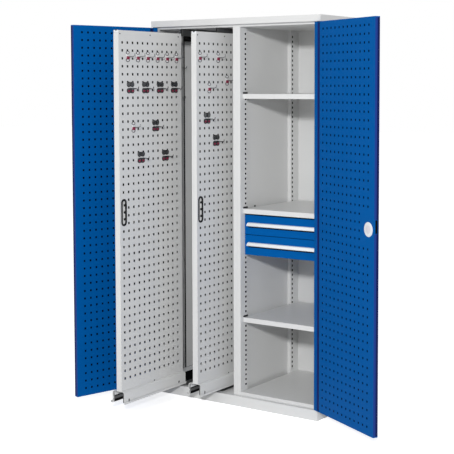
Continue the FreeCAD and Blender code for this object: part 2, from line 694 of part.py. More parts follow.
def pull_out(which, face, out):
    """Everything of one vertical pull-out; the local origin is at its right face's front edge."""
    travel_front = front + z.pull_closed
    place = (face, travel_front - out, NONE)
    half_place = (face, travel_front - out / 2, NONE)
    fixed_place = (face, travel_front, NONE)
    label = which + "_pullout_"
    grip_y = z.grip_place

    frame = Piece(label + "frame", place)
    # The frame stops below the panels' top edges, which leaves a groove for the upper guide
    frame_top = pull_top - z.guide_sink
    ring = [rectangle((NONE, z.pull_depth), (z.pull_bottom, frame_top)),
            rectangle((z.pull_rim, z.pull_depth - z.pull_rim),
                      (z.pull_bottom + z.pull_rim, frame_top - z.pull_rim))]
    frame.stretch("X", -z.pull_width + z.panel_sheet, -z.panel_sheet, ring)

    step = z.hole_spacing * z.hole_step_count
    first_y = z.pull_column_inset + z.hole_spacing
    columns = copies(z.pull_depth - first_y - z.pull_column_inset, step)
    rows = copies(pull_top - z.pull_bottom - z.pull_row_drop * 2, step)
    bottom_row = pull_top - z.pull_row_drop - step * (rows - 1)
    # The left face's rows lie half a spacing lower, so that hooks of the two faces don't meet
    for name, low, high, drop in (("right_panel", -z.panel_sheet, NONE, NONE),
                                  ("left_panel", -z.pull_width, -z.pull_width + z.panel_sheet,
                                   z.hole_spacing / 2)):
        panel = Piece(label + name, place)
        panel.stretch("X", low, high, [rectangle((NONE, z.pull_depth), (z.pull_bottom, pull_top))])
        hole = panel.stretch("X", low, high, [square(first_y, bottom_row - drop, z.hole_side)], True)
        panel.repeat(hole, [("Y", columns, step * (columns - 1)), ("Z", rows, step * (rows - 1))])
        made = panel.sketch("X", low)
        opening = z.grip_width + z.grip_clear * 2
        stadium(made, grip_y, z.grip_height, opening, opening + z.grip_length - z.grip_width)
        panel.pocket(made, high - low)

    # The finger grip: an oval ring right through the panel
    grip = Piece(label + "grip", place)
    made = grip.sketch("X", -z.pull_width - z.grip_proud)
    stadium(made, grip_y, z.grip_height, z.grip_width, z.grip_length)
    stadium(made, grip_y, z.grip_height, z.grip_width - z.grip_wall * 2, z.grip_length - z.grip_wall * 2)
    grip.pad(made, z.pull_width + z.grip_proud * 2)

    # The carriage under the panel with out-turned feet
    right = z.carriage_right
    left = right - z.carriage_width
    low = z.carriage_bottom
    high = z.pull_bottom
    wall = z.carriage_sheet
    carriage = Piece(label + "carriage", place)
    carriage.stretch("Y", NONE, z.pull_depth, [[
        (left - z.foot_flange, low), (left + wall, low), (left + wall, high - wall),
        (right - wall, high - wall), (right - wall, low), (right + z.foot_flange / 2, low),
        (right + z.foot_flange / 2, low + wall), (right, low + wall), (right, high), (left, high),
        (left, low + wall), (left - z.foot_flange, low + wall)]])

    # Floor slides: three channels nested in one another; the middle one travels half as far
    middle_x = right - z.carriage_width / 2
    guide_x = -z.pull_width / 2
    inset = (z.pull_depth - z.rail_length) / 2
    ends = (inset, inset + z.rail_length)
    shrink = (z.rail_wall + z.rail_gap) * 2
    top = high - wall
    second_width = z.moving_rail_width - shrink
    second_top = top - z.rail_wall - z.rail_gap
    third_width = second_width - shrink
    third_top = second_top - z.rail_wall - z.rail_gap
    guide_top = frame_top + z.guide_height
    mid_guide_top = guide_top + z.rail_gap + z.guide_wall
    mid_guide_width = z.guide_bar + (z.rail_gap + z.guide_wall) * 2
    outer_guide_width = mid_guide_width + (z.rail_gap + z.guide_wall) * 2
    guide_bottom = frame_top + z.guide_wall
    guide_leg = mid_guide_top - guide_bottom

    moving = Piece(label + "moving_rails", place)
    moving.stretch("Y", ends[0], ends[1],
                   [shifted(nested(z.moving_rail_width, z.rail_wall, top, z.moving_rail_leg), middle_x)])
    moving.stretch("Y", ends[0], ends[1],
                   [rectangle((guide_x - z.guide_bar / 2, guide_x + z.guide_bar / 2),
                              (frame_top, guide_top))])

    middle = Piece(label + "middle_rails", half_place)
    middle.stretch("Y", ends[0], ends[1],
                   [shifted(nested(second_width, z.rail_wall, second_top, z.moving_rail_leg), middle_x)])
    middle.stretch("Y", ends[0], ends[1],
                   [shifted(nested(mid_guide_width, z.guide_wall, mid_guide_top, guide_leg), guide_x)])

    fixed = Piece(label + "fixed_rails", fixed_place)
    half = third_width / 2
    foot = half + z.fixed_rail_foot
    base = floor_top + z.rail_wall
    fixed.stretch("Y", ends[0], ends[1], [shifted([
        (-foot, floor_top), (-half + z.rail_wall, floor_top), (-half + z.rail_wall, third_top - z.rail_wall),
        (half - z.rail_wall, third_top - z.rail_wall), (half - z.rail_wall, floor_top), (foot, floor_top),
        (foot, base), (half, base), (half, third_top), (-half, third_top),
        (-half, base), (-foot, base)], middle_x)])
    outer_half = outer_guide_width / 2
    inner_half = outer_half - z.guide_wall
    inner_top = ceiling_under - z.guide_wall
    fixed.stretch("Y", ends[0], ends[1], [shifted([
        (-outer_half, guide_bottom), (-outer_half, ceiling_under), (outer_half, ceiling_under),
        (outer_half, guide_bottom), (inner_half, guide_bottom), (inner_half, inner_top),
        (-inner_half, inner_top), (-inner_half, guide_bottom)], guide_x)])

    hooks(label + "single_hooks", which, place, single_places, z.single_width)
    hooks(label + "double_hooks", which, place, double_places, z.double_width)


def drawers():
    drawer_left = left_web + z.drawer_left_gap
    drawer_right = right_web - z.drawer_right_gap
    tray_left = left_web + z.tray_left_gap
    tray_right = right_web - z.tray_right_gap
    front_y = front + z.drawer_front_setback
    tray_y = front_y + z.drawer_front_thick
    spans = (("upper_drawer", z.drawer_split + z.drawer_gap, z.upper_drawer_top),
             ("lower_drawer", z.lower_drawer_bottom, z.drawer_split - z.drawer_gap))
    inner_end = tray_y + z.tray_length
    left_fixed = tray_left - z.runner_width - z.seat_gap
    right_fixed = tray_right + z.runner_width + z.seat_gap

    for name, low, high in spans:
        panel = Piece(name + "_front")
        panel.block((drawer_left, drawer_right), (front_y, tray_y), (low, high))
        panel.block((drawer_left + z.tray_sheet, drawer_right - z.tray_sheet),
                    (front_y + z.tray_sheet, tray_y), (low + z.tray_sheet, high - z.tray_sheet), True)

        # The tray seats on the back of the front's folded edge
        tray = Piece(name + "_tray")
        bottom = low + z.tray_base_gap
        top = high - z.tray_top_gap
        tray.block((tray_left, tray_right), (front_y + z.tray_sheet, inner_end), (bottom, top))
        tray.block((tray_left + z.tray_sheet, tray_right - z.tray_sheet),
                   (front_y + z.tray_sheet * 2, inner_end - z.tray_sheet), (bottom + z.tray_sheet, top), True)

        # A full-width pull: a lip that stands forward and turns down
        grip = Piece(name + "_handle")
        grip_top = high - z.drawer_handle_drop
        grip_low = grip_top - z.drawer_handle_height
        reach = front_y - z.drawer_handle_reach
        sheet_thick = z.drawer_handle_sheet
        grip.stretch("X", drawer_left + z.drawer_handle_inset, drawer_right - z.drawer_handle_inset, [[
            (front_y, grip_low), (front_y, grip_top),
            (reach + sheet_thick, grip_top), (reach, grip_top - sheet_thick),
            (reach, grip_low + sheet_thick), (reach + sheet_thick, grip_low + sheet_thick),
            (reach + sheet_thick, grip_top - sheet_thick * 2),
            (front_y - sheet_thick, grip_top - sheet_thick * 2),
            (front_y - sheet_thick, grip_low)]])

        runners = Piece(name + "_runners")
        rise = low + z.runner_rise
        for start, end in ((tray_left - z.runner_width, tray_left),
                           (tray_right, tray_right + z.runner_width)):
            runners.block((start, end), (tray_y, inner_end), (rise, rise + z.runner_height))

    # Carriers between the uprights' webs with a ledge pair for each drawer's runners
    top = z.middle_shelf_top - z.shelf_lip - z.clip_thick
    low = z.lower_drawer_bottom + z.carrier_drop
    for name, web, fixed_edge, hand in (("left_drawer_carrier", left_web, left_fixed, 1),
                                        ("right_drawer_carrier", right_web, right_fixed, -1)):
        carrier = Piece(name)
        plate = fixed_edge - z.carrier_sheet * hand
        ledge = fixed_edge + (z.runner_width - z.seat_gap) * hand
        outline = [(web, low), (fixed_edge, low)]
        for _, drawer_low, _ in reversed(spans):
            rise = drawer_low + z.runner_rise - z.seat_gap
            roof = drawer_low + z.runner_rise + z.runner_height + z.seat_gap
            outline += [(fixed_edge, rise - z.carrier_sheet), (ledge, rise - z.carrier_sheet), (ledge, rise),
                        (fixed_edge, rise), (fixed_edge, roof), (ledge, roof),
                        (ledge, roof + z.carrier_sheet), (fixed_edge, roof + z.carrier_sheet)]
        outline += [(fixed_edge, top), (web, top),
                    (web, top - z.carrier_sheet), (plate, top - z.carrier_sheet),
                    (plate, low + z.carrier_sheet), (web, low + z.carrier_sheet)]
        carrier.stretch("Y", tray_y + z.seat_gap, inner_end, [outline])


def main():
    carcass()
    uprights()
    shelves()
    pins()
    turns = {"left_door": -z.left_door_angle, "right_door": z.right_door_angle}
    door("left_door", -1, turns["left_door"])
    shell, skin = door("right_door", 1, turns["right_door"])
    lock(shell, skin, turns["right_door"])
    pull_out("left", z.left_face, z.pull_out_left)
    pull_out("middle", z.middle_face, z.pull_out_middle)
    drawers()
    doc.recompute()
    write_parts()


def write_parts():
    bodies = [o for o in doc.Objects if o.TypeId == "PartDesign::Body"]
    faults = [o.Name for o in doc.Objects if "Invalid" in o.State or "Error" in o.State]
    for body in bodies:
        shape = body.Shape
        if shape.isNull() or not shape.isValid() or not shape.Solids:
            faults.append(body.Label + " shape")
    if faults:
        raise RuntimeError("not built: %s" % faults)
    os.makedirs("parts", exist_ok=True)
    for body in bodies:
        body.Shape.exportStep("parts/%s.step" % body.Label)
        print("%-34s %2d solids %9.1f cm3" % (body.Label, len(body.Shape.Solids), body.Shape.Volume / 1e3))
    print(len(bodies), "nodes")


main()
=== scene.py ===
import json
import math
import bpy
from mathutils import Matrix, Vector


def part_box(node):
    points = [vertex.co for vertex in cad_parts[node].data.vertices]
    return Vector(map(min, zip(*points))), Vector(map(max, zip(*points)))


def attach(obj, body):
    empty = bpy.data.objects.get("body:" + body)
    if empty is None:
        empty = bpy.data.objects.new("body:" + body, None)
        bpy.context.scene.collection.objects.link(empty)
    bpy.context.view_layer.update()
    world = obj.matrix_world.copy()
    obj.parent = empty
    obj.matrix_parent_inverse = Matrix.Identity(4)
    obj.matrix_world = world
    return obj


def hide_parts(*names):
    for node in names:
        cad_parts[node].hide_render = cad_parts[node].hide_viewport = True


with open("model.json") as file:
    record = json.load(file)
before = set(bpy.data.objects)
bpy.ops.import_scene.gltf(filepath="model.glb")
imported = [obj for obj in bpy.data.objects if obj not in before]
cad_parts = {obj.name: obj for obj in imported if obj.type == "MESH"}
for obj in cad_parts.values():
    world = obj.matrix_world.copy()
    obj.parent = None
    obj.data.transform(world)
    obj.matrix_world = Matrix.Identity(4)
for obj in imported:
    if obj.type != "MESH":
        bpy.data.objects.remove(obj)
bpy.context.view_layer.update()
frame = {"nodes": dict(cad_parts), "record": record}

nodes = frame["nodes"]
weldGap = 0.00001
# How far a face has to turn one way to count as facing it, and the most that a standing face may look up
facingShare = 0.9
standingShare = 0.5
# In degrees: past these angles the edges of folds, of round pieces and of small soft ones stay sharp, and
# past rimAngle a rim is bevelled
foldAngle = 30
roundAngle = 40
softAngle = 60
rimAngle = 50
quarterTurn = math.radians(90)
# Lays an upright cylinder across the cabinet, with its Y turned upwards
layAcross = Matrix.Rotation(quarterTurn, 4, "Z") @ Matrix.Rotation(quarterTurn, 4, "X")


# Small helpers
def deselectAll():
    if bpy.context.object and bpy.context.object.mode != "OBJECT":
        bpy.ops.object.mode_set(mode="OBJECT")
    bpy.ops.object.select_all(action="DESELECT")


def onlySelect(piece):
    deselectAll()
    piece.select_set(True)
    bpy.context.view_layer.objects.active = piece


def named(name):
    piece = bpy.context.object
    piece.name = name
    piece.data.name = name
    return piece


def applyModifiers(piece):
    onlySelect(piece)
    for modifier in list(piece.modifiers):
        bpy.ops.object.modifier_apply(modifier=modifier.name)


def bevelled(piece, width, segments=2, angle=30):
    modifier = piece.modifiers.new("edge", "BEVEL")
    modifier.width = width
    modifier.segments = segments
    modifier.limit_method = "ANGLE"
    modifier.angle_limit = math.radians(angle)
    applyModifiers(piece)


def thickened(piece, thickness, offset=0):
    modifier = piece.modifiers.new("sheet", "SOLIDIFY")
    modifier.thickness = thickness
    modifier.offset = offset
    applyModifiers(piece)


def cutBy(piece, tool):
    modifier = piece.modifiers.new("cut", "BOOLEAN")
    modifier.operation = "DIFFERENCE"
    modifier.solver = "EXACT"
    modifier.object = tool
    applyModifiers(piece)
    bpy.data.objects.remove(tool)


def settled(piece):
    onlySelect(piece)
    bpy.ops.object.transform_apply(location=True, rotation=True, scale=True)
    return piece


def cleaned(piece):
    onlySelect(piece)
    bpy.ops.object.mode_set(mode="EDIT")
    bpy.ops.mesh.select_all(action="SELECT")
    bpy.ops.mesh.remove_doubles(threshold=weldGap)
    bpy.ops.mesh.normals_make_consistent(inside=False)
    bpy.ops.object.mode_set(mode="OBJECT")


def smooth(piece, angle=35):
    onlySelect(piece)
    bpy.ops.object.shade_smooth_by_angle(angle=math.radians(angle))


def joined(name, parts):
    deselectAll()
    for part in parts:
        part.select_set(True)
    bpy.context.view_layer.objects.active = parts[0]
    if len(parts) > 1:
        bpy.ops.object.join()
    return named(name)


def box(x, y, z, name="block"):
    deselectAll()
    middle = [(a + b) / 2 for a, b in (x, y, z)]
    bpy.ops.mesh.primitive_cube_add(size=1, location=middle)
    piece = named(name)
    piece.scale = (x[1] - x[0], y[1] - y[0], z[1] - z[0])
    return settled(piece)


def cylinder(name, radius, depth, vertices=32, ends="NGON"):
    deselectAll()
    bpy.ops.mesh.primitive_cylinder_add(vertices=vertices, radius=radius, depth=depth, end_fill_type=ends)
    return named(name)


def grid(name, columns, rows):
    deselectAll()
    bpy.ops.mesh.primitive_grid_add(x_subdivisions=columns, y_subdivisions=rows, size=1)
    return named(name)


# For each vertex of a fresh grid, the number of the line it lies on, counted along X (axis 0) or Y (axis 1)
def gridLines(piece, axis):
    lines = sorted({round(vertex.co[axis], 5) for vertex in piece.data.vertices})
    return [lines.index(round(vertex.co[axis], 5)) for vertex in piece.data.vertices]


# Pulls the two halves of a round apart, which makes an oval of it
def stretched(piece, step, axis):
    for vertex in piece.data.vertices:
        vertex.co[axis] += step if vertex.co[axis] > 0 else -step


def dressed(piece, material):
    piece.data.materials.clear()
    piece.data.materials.append(material)
    return piece


# Finishes: plainLook holds what a finish doesn't say itself
plainLook = {"metal": 0, "shine": 0.5, "patchScale": 4, "patchDetail": 3, "darker": 0.97, "grain": 700,
             "grainDetail": 2, "relief": 0.12, "reliefDepth": 0.0004}
finishes = {
    "greyPaint": {"colour": (0.86, 0.862, 0.86), "rough": 0.3, "shine": 0.4},
    "discGrey": {"colour": (0.86, 0.85, 0.875), "rough": 0.45, "shine": 0.3},
    # indigoEdge and navyEdge are painted shade for the doors' edges and hinge grooves; navy is the darker
    "indigoEdge": {"colour": (0.11, 0.22, 0.52), "rough": 0.5, "shine": 0.1},
    "navyEdge": {"colour": (0.02, 0.08, 0.30), "rough": 0.5, "shine": 0.1},
    "bluePaint": {"colour": (0.0, 0.345, 0.635), "rough": 0.45, "darker": 0.94, "shine": 0.03},
    "zincSteel": {"colour": (0.55, 0.56, 0.57), "rough": 0.35, "metal": 1, "patchScale": 30, "darker": 0.85},
    # innerDark is painted shade: the near-black put where only shade falls, inside hollows, behind holes and
    # openings, under the drawer pulls and on the sides of the slides
    "innerDark": {"colour": (0.03, 0.03, 0.035), "rough": 0.8, "shine": 0.05, "patchScale": 25,
                  "darker": 0.8},
    "darkSteel": {"colour": (0.27, 0.27, 0.28), "rough": 0.38, "metal": 0.8, "patchScale": 40,
                  "darker": 0.8},
    "railZinc": {"colour": (0.43, 0.435, 0.44), "rough": 0.45, "metal": 0.7, "patchScale": 30,
                 "darker": 0.85},
    "whiteAluminium": {"colour": (0.925, 0.93, 0.935), "rough": 0.35, "grain": 300},
    "blackPlastic": {"colour": (0.055, 0.055, 0.06), "rough": 0.45, "relief": 0.25, "shine": 0.25},
    "whitePlastic": {"colour": (0.90, 0.91, 0.92), "rough": 0.4},
    "redPlastic": {"colour": (0.52, 0.17, 0.27), "rough": 0.4, "shine": 0.2},
}


def newMaterial(name):
    material = bpy.data.materials.new(name)
    material.use_nodes = True
    tree = material.node_tree
    return material, tree, tree.nodes["Principled BSDF"]


# From the screen's colour values to the renderer's
def linear(colour):
    return [((c + 0.055) / 1.055) ** 2.4 if c > 0.04045 else c / 12.92 for c in colour] + [1]


def noise(tree, place, scale, detail):
    texture = tree.nodes.new("ShaderNodeTexNoise")
    texture.inputs["Scale"].default_value = scale
    texture.inputs["Detail"].default_value = detail
    tree.links.new(place.outputs["Object"], texture.inputs["Vector"])
    return texture.outputs["Fac"]


def finishMaterial(name):
    look = {**plainLook, **finishes[name]}
    material, tree, shader = newMaterial(name)
    shader.inputs["Roughness"].default_value = look["rough"]
    shader.inputs["Metallic"].default_value = look["metal"]
    shader.inputs["Specular IOR Level"].default_value = look["shine"]
    place = tree.nodes.new("ShaderNodeTexCoord")
    blend = tree.nodes.new("ShaderNodeMix")
    blend.data_type = "RGBA"
    blend.inputs["A"].default_value = linear([c * look["darker"] for c in look["colour"]])
    blend.inputs["B"].default_value = linear(look["colour"])
    tree.links.new(noise(tree, place, look["patchScale"], look["patchDetail"]), blend.inputs["Factor"])
    tree.links.new(blend.outputs["Result"], shader.inputs["Base Color"])
    relief = tree.nodes.new("ShaderNodeBump")
    relief.inputs["Strength"].default_value = look["relief"]
    relief.inputs["Distance"].default_value = look["reliefDepth"]
    tree.links.new(noise(tree, place, look["grain"], look["grainDetail"]), relief.inputs["Height"])
    tree.links.new(relief.outputs["Normal"], shader.inputs["Normal"])
    return material


materials = {name: finishMaterial(name) for name in finishes}
slotFinish = {"grey_paint": "greyPaint", "blue_paint": "bluePaint", "zinc_steel": "darkSteel",
              "hook_steel": "zincSteel", "aluminium_strip": "whiteAluminium",
              "black_plastic": "blackPlastic", "white_plastic": "whitePlastic"}
nodeFinish = {part["node"]: slotFinish[part["material_slot"]] for part in frame["record"]["subparts"]}
nodeFinish.update({name: "railZinc" for name in nodeFinish if name.endswith("_rails")})
for name in nodes:
    dressed(nodes[name], materials[nodeFinish[name]])
print("materials done")


def block(x, y, z, finish, edge=0.0008):
    piece = box(x, y, z)
    bevelled(piece, edge, 1)
    return dressed(piece, materials[finish])


def plainBox(x, y, z, finish):
    return dressed(box(x, y, z), materials[finish])


# The door leaves, measured in the shut door from its hinge line; reach is the way to the free edge
doors = {
    "right": {"hand": 1, "hinge": (0.497, -0.282), "open": math.radians(152.4)},
    "left": {"hand": -1, "hinge": (-0.497, -0.282), "open": math.radians(-106)},
}
leaf = {"reach": 0.4955, "innerFace": 0.017, "sheet": 0.0012, "sheetStart": 0.038, "sheetLow": 0.0562,
        "sheetHigh": 1.9138}


def doorPlace(side):
    door = doors[side]
    return Matrix.Translation((*door["hinge"], 0)) @ Matrix.Rotation(door["open"], 4, "Z")


def doorSpan(side, start, end):
    hand = doors[side]["hand"]
    return sorted((-hand * start, -hand * end))


# Perforated sheets: a grid whose lines run along the holes' edges, with the holes' faces taken out
def holedGrid(name, columns, rows, low, high, isHole):
    columns = [low[0]] + columns + [high[0]]
    rows = [low[1]] + rows + [high[1]]
    piece = grid(name, len(columns) - 1, len(rows) - 1)
    mesh = piece.data
    places = list(zip(gridLines(piece, 0), gridLines(piece, 1)))
    holes = []
    for face in mesh.polygons:
        column = min(places[v][0] for v in face.vertices)
        row = min(places[v][1] for v in face.vertices)
        if isHole(column, row):
            holes.append(face.index)
    for vertex, (column, row) in zip(mesh.vertices, places):
        vertex.co = (columns[column], rows[row], 0)
    bpy.ops.object.mode_set(mode="EDIT")
    bpy.ops.mesh.select_mode(type="FACE")
    bpy.ops.mesh.select_all(action="DESELECT")
    bpy.ops.object.mode_set(mode="OBJECT")
    for index in holes:
        mesh.polygons[index].select = True
    bpy.ops.object.mode_set(mode="EDIT")
    bpy.ops.mesh.delete(type="FACE")
    bpy.ops.object.mode_set(mode="OBJECT")
    return piece


def edges(centres, half):
    return [side for c in centres for side in (c - half, c + half)]


# Painted shade: the face that looks into the hollow behind a sheet gets the dark finish, so that nothing pale
# shows through the holes
def darkInside(piece, inward):
    piece.data.materials.append(materials["innerDark"])
    for face in piece.data.polygons:
        if face.normal.dot(inward) > facingShare:
            face.material_index = 1


# The rosette's discs are given by radius, start, rise, rounding and finish
lock = {"reach": 0.4525, "height": 0.981, "clearance": 0.066, "columns": 2, "bore": 0.0075,
        "boreDepth": 0.0048, "around": 64, "edgeSteps": 3,
        "discs": ((0.033, 0, 0.0022, 0.0008, "whitePlastic"),
                  (0.01848, 0.0018, 0.0006, 0.00024, "discGrey"))}
perforation = {
    "columns": 12, "pitch": 0.038,
    "doorHole": 0.010, "doorPitch": 0.0345, "doorRows": 48, "doorTopRow": 1.8798, "doorFreeEdge": 0.049,
    "pullHole": 0.012, "pullRows": 44, "pullTopRow": 1.8228, "pullFront": 0.0275,
}


def doorSheet(side):
    hole = perforation
    rows = sorted(hole["doorTopRow"] - hole["pitch"] * i for i in range(hole["doorRows"]))
    centres = sorted(leaf["reach"] - hole["doorFreeEdge"] - hole["doorPitch"] * i
                     for i in range(hole["columns"]))

    def isHole(c, r):
        if c % 2 == 0 or r % 2 == 0:
            return False
        besideLock = abs(rows[r // 2] - lock["height"]) < lock["clearance"]
        return side == "left" or not besideLock or c // 2 < hole["columns"] - lock["columns"]

    piece = holedGrid(side + "DoorPerforatedSheet", edges(centres, hole["doorHole"] / 2),
                      edges(rows, hole["doorHole"] / 2), (leaf["sheetStart"], leaf["sheetLow"]),
                      (leaf["reach"] - leaf["sheet"], leaf["sheetHigh"]), isHole)
    thickened(piece, leaf["sheet"])
    if side == "right":
        bore = cylinder("spindleCut", lock["bore"], lock["boreDepth"])
        bore.data.transform(Matrix.Translation((lock["reach"], lock["height"], 0)))
        cutBy(piece, bore)
    # the grid lies in XY: stand it up, then hang it on the door's inner face
    middle = leaf["innerFace"] - leaf["sheet"] / 2
    stand = Matrix.Rotation(quarterTurn, 4, "X")
    flip = Matrix.Scale(-doors[side]["hand"], 4, (1, 0, 0))
    piece.data.transform(doorPlace(side) @ Matrix.Translation((0, middle, 0)) @ flip @ stand)
    if side == "right":
        piece.data.flip_normals()
    dressed(piece, materials["bluePaint"])
    darkInside(piece, doorPlace(side).to_3x3() @ Vector((0, -1, 0)))
    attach(piece, side + "_door")
    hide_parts(side + "_door_sheet")


pullOuts = {
    "left": {"face": -0.3227, "front": -0.768},
    "middle": {"face": -0.0987, "front": -0.449},
}
panelShape = {"depth": 0.487, "bottom": 0.1288, "top": 1.881, "sheet": 0.001, "width": 0.031}
grip = {"place": 0.0291, "height": 1.003, "width": 0.0406, "length": 0.1326, "cutDepth": 0.02,
        "around": 40}


def gripCutter(x, y):
    radius = grip["width"] / 2
    piece = cylinder("gripCut", radius, grip["cutDepth"], grip["around"])
    stretched(piece, grip["length"] / 2 - radius, 1)
    piece.data.transform(Matrix.Translation((x, y, grip["height"])) @ layAcross)
    return piece


def pullOutPanel(which, side):
    hole = perforation
    shape = panelShape
    out = pullOuts[which]
    centres = [hole["pullFront"] + hole["pitch"] * i for i in range(hole["columns"])]
    topRow = hole["pullTopRow"] - (hole["pitch"] / 2 if side == "left" else 0)
    rows = sorted(topRow - hole["pitch"] * i for i in range(hole["pullRows"]))
    gripReach = grip["length"] / 2 + hole["pullHole"]

    def isHole(c, r):
        if c % 2 == 0 or r % 2 == 0:
            return False
        return c > 1 or abs(rows[r // 2] - grip["height"]) > gripReach

    piece = holedGrid(which + "PullOut" + side.capitalize() + "Panel", edges(centres, hole["pullHole"] / 2),
                      edges(rows, hole["pullHole"] / 2), (0, shape["bottom"]),
                      (shape["depth"], shape["top"]), isHole)
    thickened(piece, shape["sheet"])
    inset = shape["sheet"] / 2 if side == "right" else shape["width"] - shape["sheet"] / 2
    x = out["face"] - inset
    # the grid's X becomes the cabinet's depth and its Y the height
    turn = Matrix(((0, 0, 1, x), (1, 0, 0, out["front"]), (0, 1, 0, 0), (0, 0, 0, 1)))
    piece.data.transform(turn)
    cutBy(piece, gripCutter(x, out["front"] + grip["place"]))
    dressed(piece, materials["greyPaint"])
    darkInside(piece, Vector((-1, 0, 0) if side == "right" else (1, 0, 0)))
    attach(piece, which + "_pullout")
    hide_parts(which + "_pullout_" + side + "_panel")


for side in ("right", "left"):
    doorSheet(side)
for which in pullOuts:
    for side in ("right", "left"):
        pullOutPanel(which, side)
print("perforated sheets done")

# Slotted uprights: one folded strip each, with all its slots; an open one has a dark plate behind them,
# painted shade inside the post
slots = {"width": 0.0125, "pitch": 0.025, "first": 0.098, "count": 72, "sheet": 0.0015, "back": 0.003,
         "shadePlate": 0.0004, "backRound": 0.0001, "strip": 2}
postRows = {
    "front": {"end": -0.199, "slot": -0.2155, "slotHeight": 0.0105, "closed": True},
    "rear": {"end": 0.2885, "slot": 0.2275, "slotHeight": 0.0125, "closed": False},
}
posts = {
    "front_left_upright": {"row": "front", "wall": 0.011, "web": 0.032, "start": -0.262},
    "rear_left_upright": {"row": "rear", "wall": 0.011, "web": 0.032, "start": 0.211},
    "front_right_upright": {"row": "front", "wall": 0.5035, "web": 0.4825, "start": -0.25},
    "rear_right_upright": {"row": "rear", "wall": 0.5035, "web": 0.4825, "start": 0.211},
}


# Painted shade: the standing faces that look into a post's hollow get the dark finish
def darkHollow(piece, axis):
    piece.data.materials.append(materials["innerDark"])
    for face in piece.data.polygons:
        outward = Vector((face.center.x - axis[0], face.center.y - axis[1], 0))
        if face.normal.dot(outward) < 0 and abs(face.normal.z) < standingShare:
            face.material_index = 1


def slottedPost(node):
    post = {**posts[node], **postRows[posts[node]["row"]]}
    low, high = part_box(node)
    half = slots["sheet"] / 2
    hand = 1 if post["web"] > post["wall"] else -1
    web = post["web"] - hand * half
    wall = post["wall"] + hand * half
    front = post["start"] + half
    rear = post["end"] - half if post["closed"] else post["end"]
    # the fold seen from above; the slots lie in the strip between its third and fourth corners
    line = [(wall, front), (web, front), (web, post["slot"] - slots["width"] / 2),
            (web, post["slot"] + slots["width"] / 2), (web, rear), (wall, rear), (wall, front)]
    rows = [slots["first"] + slots["pitch"] * i for i in range(slots["count"])]
    height = post["slotHeight"]
    piece = holedGrid(node.replace("_", " ").title().replace(" ", "") + "Slotted",
                      list(range(1, len(line) - 1)), edges(rows, height / 2), (0, low.z),
                      (len(line) - 1, high.z), lambda c, r: c == slots["strip"] and r % 2 == 1)
    for vertex in piece.data.vertices:
        vertex.co = (*line[round(vertex.co.x)], vertex.co.y)
    thickened(piece, slots["sheet"])
    dressed(piece, materials["greyPaint"])
    darkHollow(piece, ((wall + web) / 2, (front + rear) / 2))
    if not post["closed"]:
        behind = sorted(web - hand * depth for depth in (slots["back"], slots["back"] + slots["shadePlate"]))
        span = (post["slot"] - height, post["slot"] + height)
        shadePlate = block(behind, span, (rows[0] - height, rows[-1] + height), "innerDark",
                        slots["backRound"])
        piece = joined(piece.name, [piece, shadePlate])
    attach(piece, "cabinet")
    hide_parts(node)


for node in posts:
    slottedPost(node)
print("uprights done")


def wireAlong(name, points, radius):
    curve = bpy.data.curves.new(name, "CURVE")
    curve.dimensions = "3D"
    curve.bevel_depth = radius
    curve.bevel_resolution = 2
    curve.use_fill_caps = True
    line = curve.splines.new("POLY")
    line.points.add(len(points) - 1)
    for spot, point in zip(line.points, points):
        spot.co = (*point, 1)
    piece = bpy.data.objects.new(name, curve)
    bpy.context.scene.collection.objects.link(piece)
    onlySelect(piece)
    bpy.ops.object.convert(target="MESH")
    piece = settled(named(name))
    cleaned(piece)
    return piece


# Hooks: (column, row) of the hole that carries each one; a hook's middle is half a spacing and a drop
# under it
hooks = {
    "wire": 0.0016, "prong": 0.0020, "drop": 0.007,
    "single": {"left": ((1, 1), (3, 1), (5, 1), (7, 1), (9, 1), (11, 1), (2, 10)),
               "middle": ((0, 1), (4, 1), (6, 4), (2, 5))},
    "double": {"left": ((1, 5), (4, 5), (7, 5), (10, 5), (6, 10), (3, 14), (8, 14)),
               "middle": ((1, 9), (3, 12))},
}
# What one hook is made of, from its root on the panel: rings (width and height; depth and height of the
# centre), blocks (three spans, finish, rounding) and the line of its bent prong
hookShapes = {
    "single": {
        "shift": 0, "prongFinish": "zincSteel",
        "rings": (((0.025, 0.017), (0, 0.016)), ((0.027, 0.019), (0, -0.0195))),
        "blocks": (((0, 0.0014), (-0.009, 0.009), (-0.027, 0.023), "whiteAluminium", 0.0004),
                   ((0.0016, 0.0065), (-0.0105, 0.0105), (-0.0165, -0.002), "redPlastic", 0.0015)),
        "prong": ((0.0020, 0.004, -0.003), (0.033, 0.004, -0.003), (0.0385, 0.004, -0.001),
                  (0.0426, 0.004, 0.004), (0.0426, 0.004, 0.013)),
    },
    "double": {
        "shift": 0.5, "prongFinish": "darkSteel",
        "rings": [((0.028, 0.026), (y, z)) for z in (0.0155, -0.0155) for y in (-0.0135, 0.0135)],
        "blocks": (((0, 0.0014), (-0.024, 0.024), (0.005, 0.026), "zincSteel", 0.0004),
                   ((0, 0.0014), (-0.024, 0.024), (-0.026, -0.005), "zincSteel", 0.0004),
                   ((0.0016, 0.0045), (-0.004, 0.004), (0.0045, 0.0265), "darkSteel", 0.0008),
                   ((0.0016, 0.0045), (-0.004, 0.004), (-0.0265, -0.0045), "darkSteel", 0.0008),
                   ((0.0016, 0.005), (-0.022, 0.022), (-0.007, -0.003), "darkSteel", 0.0008),
                   ((0.0016, 0.006), (-0.0195, -0.0075), (-0.021, -0.012), "redPlastic", 0.0012),
                   ((0.0016, 0.006), (0.0075, 0.0195), (-0.021, -0.012), "redPlastic", 0.0012)),
        "prong": ((0.0020, 0.012, -0.005), (0.026, 0.012, -0.005), (0.034, 0.012, -0.009),
                  (0.0396, 0.012, -0.007), (0.0426, 0.012, 0.004)),
    },
}
# The ring as it is added, before it is given its width, height and wire
freshRing = {"radius": 0.5, "wire": 0.01, "around": 20, "across": 8}


